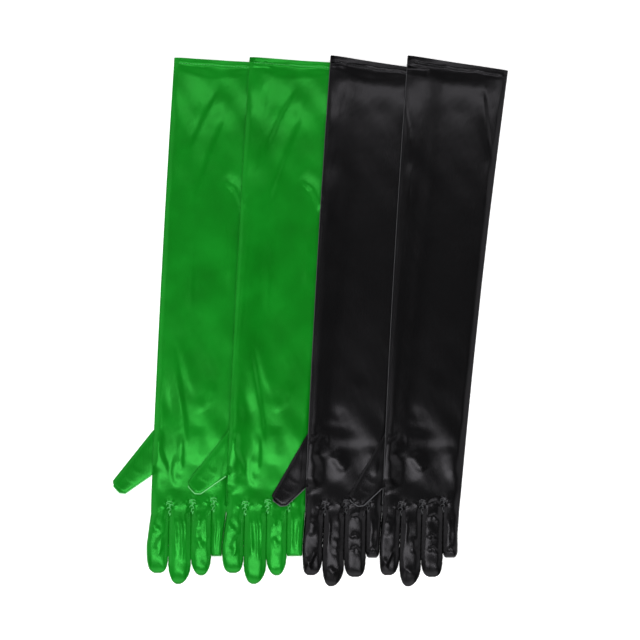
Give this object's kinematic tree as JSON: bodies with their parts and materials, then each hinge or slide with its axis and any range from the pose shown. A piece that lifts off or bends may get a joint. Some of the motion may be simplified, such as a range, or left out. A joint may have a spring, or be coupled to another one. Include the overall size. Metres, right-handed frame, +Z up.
{
  "type": "opera gloves",
  "caption": "Opera gloves in stretch satin, laid out flat side by side and overlapping, each with a long arm, hemmed cuff, folding fingers and thumb.",
  "frame": {"origin": "under the centre of the whole layout's bounding box, on the surface that the gloves lie on", "axes": "+Z up from the surface, +Y from the fingertips to the cuffs, +X across the row, from the first glove to the last"},
  "size_m": [0.4348, 0.5842, 0.0137],
  "materials": {
    "green_satin": "stretch satin, soft sheen",
    "black_satin": "stretch satin, soft sheen"
  },
  "bodies": {
    "green_1_hand": {"green_1_back_panel": "green_satin", "green_1_palm_panel": "green_satin", "green_1_fourchette_index_middle": "green_satin", "green_1_fourchette_middle_ring": "green_satin", "green_1_fourchette_ring_little": "green_satin"},
    "green_1_index": {"green_1_index_back": "green_satin", "green_1_index_palm": "green_satin"},
    "green_1_middle": {"green_1_middle_back": "green_satin", "green_1_middle_palm": "green_satin"},
    "green_1_ring": {"green_1_ring_back": "green_satin", "green_1_ring_palm": "green_satin"},
    "green_1_little": {"green_1_little_back": "green_satin", "green_1_little_palm": "green_satin"},
    "green_1_thumb": {"green_1_thumb_back": "green_satin", "green_1_thumb_palm": "green_satin"},
    "green_2_hand": {"green_2_back_panel": "green_satin", "green_2_palm_panel": "green_satin", "green_2_fourchette_index_middle": "green_satin", "green_2_fourchette_middle_ring": "green_satin", "green_2_fourchette_ring_little": "green_satin"},
    "green_2_index": {"green_2_index_back": "green_satin", "green_2_index_palm": "green_satin"},
    "green_2_middle": {"green_2_middle_back": "green_satin", "green_2_middle_palm": "green_satin"},
    "green_2_ring": {"green_2_ring_back": "green_satin", "green_2_ring_palm": "green_satin"},
    "green_2_little": {"green_2_little_back": "green_satin", "green_2_little_palm": "green_satin"},
    "green_2_thumb": {"green_2_thumb_back": "green_satin", "green_2_thumb_palm": "green_satin"},
    "black_1_hand": {"black_1_back_panel": "black_satin", "black_1_palm_panel": "black_satin", "black_1_fourchette_index_middle": "black_satin", "black_1_fourchette_middle_ring": "black_satin", "black_1_fourchette_ring_little": "black_satin"},
    "black_1_index": {"black_1_index_back": "black_satin", "black_1_index_palm": "black_satin"},
    "black_1_middle": {"black_1_middle_back": "black_satin", "black_1_middle_palm": "black_satin"},
    "black_1_ring": {"black_1_ring_back": "black_satin", "black_1_ring_palm": "black_satin"},
    "black_1_little": {"black_1_little_back": "black_satin", "black_1_little_palm": "black_satin"},
    "black_1_thumb": {"black_1_thumb_back": "black_satin", "black_1_thumb_palm": "black_satin"},
    "black_2_hand": {"black_2_back_panel": "black_satin", "black_2_palm_panel": "black_satin", "black_2_fourchette_index_middle": "black_satin", "black_2_fourchette_middle_ring": "black_satin", "black_2_fourchette_ring_little": "black_satin"},
    "black_2_index": {"black_2_index_back": "black_satin", "black_2_index_palm": "black_satin"},
    "black_2_middle": {"black_2_middle_back": "black_satin", "black_2_middle_palm": "black_satin"},
    "black_2_ring": {"black_2_ring_back": "black_satin", "black_2_ring_palm": "black_satin"},
    "black_2_little": {"black_2_little_back": "black_satin", "black_2_little_palm": "black_satin"},
    "black_2_thumb": {"black_2_thumb_back": "black_satin", "black_2_thumb_palm": "black_satin"}
  },
  "joints": [
    {"name": "green_1_index_fold", "type": "hinge", "parent": "green_1_hand", "child": "green_1_index", "pos_m": [-0.16576, -0.20867, 0.0073], "axis": [-0.9967, -0.0807, 0], "range_deg": [0, 90], "deforming": ["green_1_fourchette_index_middle"]},
    {"name": "green_1_middle_fold", "type": "hinge", "parent": "green_1_hand", "child": "green_1_middle", "pos_m": [-0.14329, -0.20685, 0.0073], "axis": [-0.9967, -0.0807, 0], "range_deg": [0, 90], "deforming": ["green_1_fourchette_index_middle", "green_1_fourchette_middle_ring"]},
    {"name": "green_1_ring_fold", "type": "hinge", "parent": "green_1_hand", "child": "green_1_ring", "pos_m": [-0.11984, -0.20495, 0.0073], "axis": [-0.9967, -0.0807, 0], "range_deg": [0, 90], "deforming": ["green_1_fourchette_middle_ring", "green_1_fourchette_ring_little"]},
    {"name": "green_1_little_fold", "type": "hinge", "parent": "green_1_hand", "child": "green_1_little", "pos_m": [-0.10132, -0.20345, 0.0073], "axis": [-0.9967, -0.0807, 0], "range_deg": [0, 90], "deforming": ["green_1_fourchette_ring_little"]},
    {"name": "green_1_thumb_fold", "type": "hinge", "parent": "green_1_hand", "child": "green_1_thumb", "pos_m": [-0.17344, -0.14466, 0.0065], "axis": [0.0415, 0.9991, 0], "range_deg": [0, 90]},
    {"name": "green_2_lift", "type": "slide", "parent": "green_1_hand", "child": "green_2_hand", "axis": [0, 0, 1], "range_m": [0, 0.12]},
    {"name": "green_2_index_fold", "type": "hinge", "parent": "green_2_hand", "child": "green_2_index", "pos_m": [-0.08276, -0.20867, 0.0073], "axis": [-0.9967, -0.0807, 0], "range_deg": [0, 90], "deforming": ["green_2_fourchette_index_middle"]},
    {"name": "green_2_middle_fold", "type": "hinge", "parent": "green_2_hand", "child": "green_2_middle", "pos_m": [-0.06029, -0.20685, 0.0073], "axis": [-0.9967, -0.0807, 0], "range_deg": [0, 90], "deforming": ["green_2_fourchette_index_middle", "green_2_fourchette_middle_ring"]},
    {"name": "green_2_ring_fold", "type": "hinge", "parent": "green_2_hand", "child": "green_2_ring", "pos_m": [-0.03684, -0.20495, 0.0073], "axis": [-0.9967, -0.0807, 0], "range_deg": [0, 90], "deforming": ["green_2_fourchette_middle_ring", "green_2_fourchette_ring_little"]},
    {"name": "green_2_little_fold", "type": "hinge", "parent": "green_2_hand", "child": "green_2_little", "pos_m": [-0.01648, -0.20331, 0.0073], "axis": [-0.9967, -0.0807, 0], "range_deg": [0, 90], "deforming": ["green_2_fourchette_ring_little"]},
    {"name": "green_2_thumb_fold", "type": "hinge", "parent": "green_2_hand", "child": "green_2_thumb", "pos_m": [-0.09044, -0.14466, 0.01188], "axis": [0.0415, 0.9991, 0], "range_deg": [0, 90]},
    {"name": "black_1_lift", "type": "slide", "parent": "green_2_hand", "child": "black_1_hand", "axis": [0, 0, 1], "range_m": [0, 0.12]},
    {"name": "black_1_index_fold", "type": "hinge", "parent": "black_1_hand", "child": "black_1_index", "pos_m": [0.00444, -0.20873, 0.0073], "axis": [-0.9967, -0.0807, 0], "range_deg": [0, 90], "deforming": ["black_1_fourchette_index_middle"]},
    {"name": "black_1_middle_fold", "type": "hinge", "parent": "black_1_hand", "child": "black_1_middle", "pos_m": [0.0267, -0.20693, 0.0073], "axis": [-0.9967, -0.0807, 0], "range_deg": [0, 90], "deforming": ["black_1_fourchette_index_middle", "black_1_fourchette_middle_ring"]},
    {"name": "black_1_ring_fold", "type": "hinge", "parent": "black_1_hand", "child": "black_1_ring", "pos_m": [0.04986, -0.20505, 0.0073], "axis": [-0.9967, -0.0807, 0], "range_deg": [0, 90], "deforming": ["black_1_fourchette_middle_ring", "black_1_fourchette_ring_little"]},
    {"name": "black_1_little_fold", "type": "hinge", "parent": "black_1_hand", "child": "black_1_little", "pos_m": [0.06943, -0.20347, 0.0073], "axis": [-0.9967, -0.0807, 0], "range_deg": [0, 90], "deforming": ["black_1_fourchette_ring_little"]},
    {"name": "black_1_thumb_fold", "type": "hinge", "parent": "black_1_hand", "child": "black_1_thumb", "pos_m": [-0.00397, -0.15336, 0.01078], "axis": [0.0417, 0.9991, 0], "range_deg": [0, 90]},
    {"name": "black_2_lift", "type": "slide", "parent": "black_1_hand", "child": "black_2_hand", "axis": [0, 0, 1], "range_m": [0, 0.12]},
    {"name": "black_2_index_fold", "type": "hinge", "parent": "black_2_hand", "child": "black_2_index", "pos_m": [0.08914, -0.20873, 0.0073], "axis": [-0.9967, -0.0807, 0], "range_deg": [0, 90], "deforming": ["black_2_fourchette_index_middle"]},
    {"name": "black_2_middle_fold", "type": "hinge", "parent": "black_2_hand", "child": "black_2_middle", "pos_m": [0.1114, -0.20693, 0.0073], "axis": [-0.9967, -0.0807, 0], "range_deg": [0, 90], "deforming": ["black_2_fourchette_index_middle", "black_2_fourchette_middle_ring"]},
    {"name": "black_2_ring_fold", "type": "hinge", "parent": "black_2_hand", "child": "black_2_ring", "pos_m": [0.13456, -0.20505, 0.0073], "axis": [-0.9967, -0.0807, 0], "range_deg": [0, 90], "deforming": ["black_2_fourchette_middle_ring", "black_2_fourchette_ring_little"]},
    {"name": "black_2_little_fold", "type": "hinge", "parent": "black_2_hand", "child": "black_2_little", "pos_m": [0.1555, -0.20336, 0.0073], "axis": [-0.9967, -0.0807, 0], "range_deg": [0, 90], "deforming": ["black_2_fourchette_ring_little"]},
    {"name": "black_2_thumb_fold", "type": "hinge", "parent": "black_2_hand", "child": "black_2_thumb", "pos_m": [0.08073, -0.15336, 0.01135], "axis": [0.0417, 0.9991, 0], "range_deg": [0, 90]}
  ]
}
